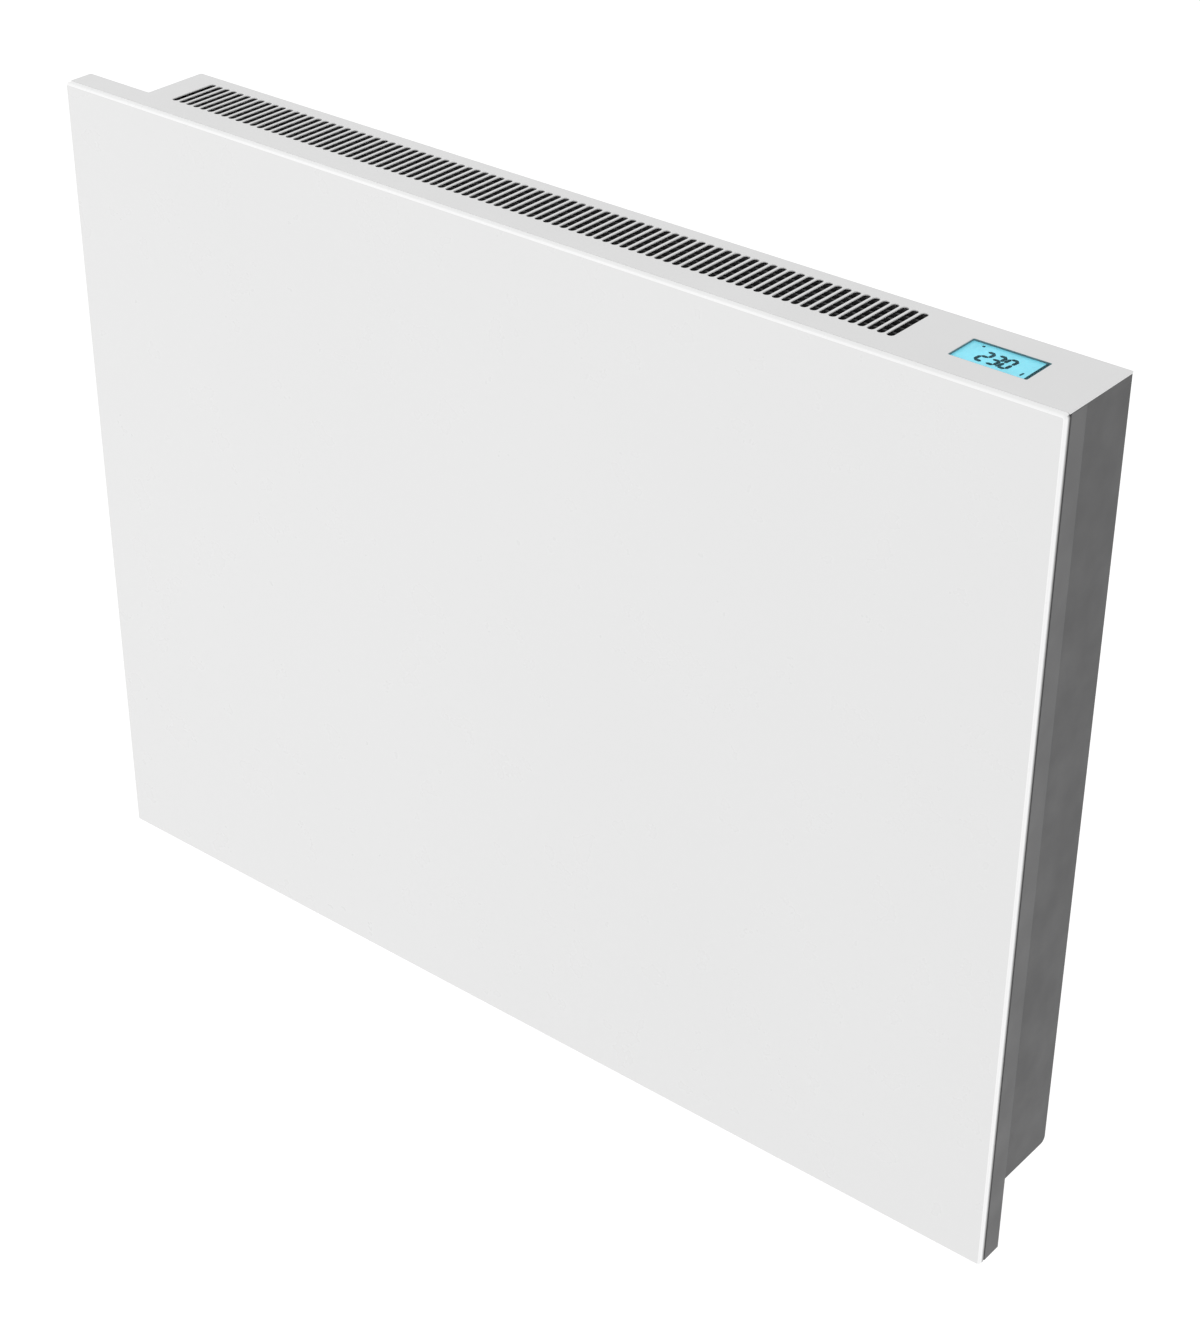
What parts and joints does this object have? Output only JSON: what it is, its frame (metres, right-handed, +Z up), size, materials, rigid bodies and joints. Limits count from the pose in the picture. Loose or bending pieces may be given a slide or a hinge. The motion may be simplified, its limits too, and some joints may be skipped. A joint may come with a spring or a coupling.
{
  "type": "wall panel convector heater",
  "caption": "Slim wall-hung convector heater: white glass front panel, steel convection case, top outlet slots, cyan display, mains switch and wall bracket.",
  "frame": {"origin": "middle of the upper rail's back face, where the bracket lies on the wall", "axes": "+X to the right seen from the room, +Y out of the back into the wall, +Z up"},
  "size_m": [0.7001, 0.0756, 0.54],
  "materials": {
    "white_glass": "glossy toughened glass, lacquered white on its back",
    "white_paint": "fine satin powder coat",
    "grey_paint": "fine-textured powder coat",
    "galvanised": "galvanised sheet",
    "steel": "zinc-plated fasteners and steel heating rod",
    "aluminium": "extruded or rolled, bare",
    "ceramic": "steatite ceramic",
    "mineral_wool": "pressed fibre board",
    "foam": "closed-cell foam tape",
    "black_plastic": "moulded, lightly textured",
    "white_plastic": "moulded",
    "circuit_board": "solder mask over glass-fibre board",
    "display": "backlit cyan segment display",
    "clear_lens": "clear polished window",
    "wire_brown": "silicone insulation",
    "wire_blue": "silicone insulation",
    "wire_earth": "green and yellow silicone insulation"
  },
  "bodies": {
    "bracket": {"upper_rail": "galvanised", "lower_rail": "galvanised", "bracket_strap_left": "galvanised", "bracket_strap_right": "galvanised", "rivet_left_upper": "steel", "rivet_left_lower": "steel", "rivet_right_upper": "steel", "rivet_right_lower": "steel"},
    "heater": {"front_glass": "white_glass", "bond_tape": "foam", "front_tray": "grey_paint", "insulation_board": "mineral_wool", "side_panel_left": "grey_paint", "side_panel_right": "grey_paint", "rear_cover": "grey_paint", "top_cover": "white_paint", "partition_plate": "galvanised", "rear_screw_left_1": "steel", "rear_screw_left_2": "steel", "rear_screw_left_3": "steel", "rear_screw_right_1": "steel", "rear_screw_right_2": "steel", "rear_screw_right_3": "steel", "rear_screw_top_left": "steel", "rear_screw_top_right": "steel", "panel_screw_left_upper": "steel", "panel_screw_left_lower": "steel", "panel_screw_right_upper": "steel", "panel_screw_right_lower": "steel", "front_heat_shield": "aluminium", "rear_heat_shield": "aluminium", "element_fins": "aluminium", "element_rod": "steel", "element_bush_left": "ceramic", "element_bush_right": "ceramic", "element_hanger_left": "galvanised", "element_hanger_right": "galvanised", "thermal_cutout": "black_plastic", "display_lens": "clear_lens", "lcd_panel": "display", "control_board": "circuit_board", "display_bezel": "black_plastic", "control_housing": "black_plastic", "power_board": "circuit_board", "switch_body": "black_plastic", "cable_gland": "black_plastic", "gland_nut": "black_plastic", "room_sensor": "white_plastic", "terminal_block": "white_plastic", "earth_stud": "steel", "earth_nut": "steel", "wire_grommet": "black_plastic", "wire_live": "wire_brown", "wire_switched": "wire_brown", "wire_neutral": "wire_blue", "wire_load": "wire_brown", "wire_element": "wire_brown", "wire_return": "wire_blue", "wire_earth": "wire_earth"},
    "rocker": {"power_rocker": "black_plastic"}
  },
  "joints": [
    {"name": "heater_lift", "type": "slide", "parent": "bracket", "child": "heater", "axis": [0, 0, 1], "range_m": [0, 0.012]},
    {"name": "power_rocker", "type": "hinge", "parent": "heater", "child": "rocker", "pos_m": [0.29265, -0.0335, -0.3978], "axis": [0, 1, 0], "range_deg": [0, 20]}
  ]
}
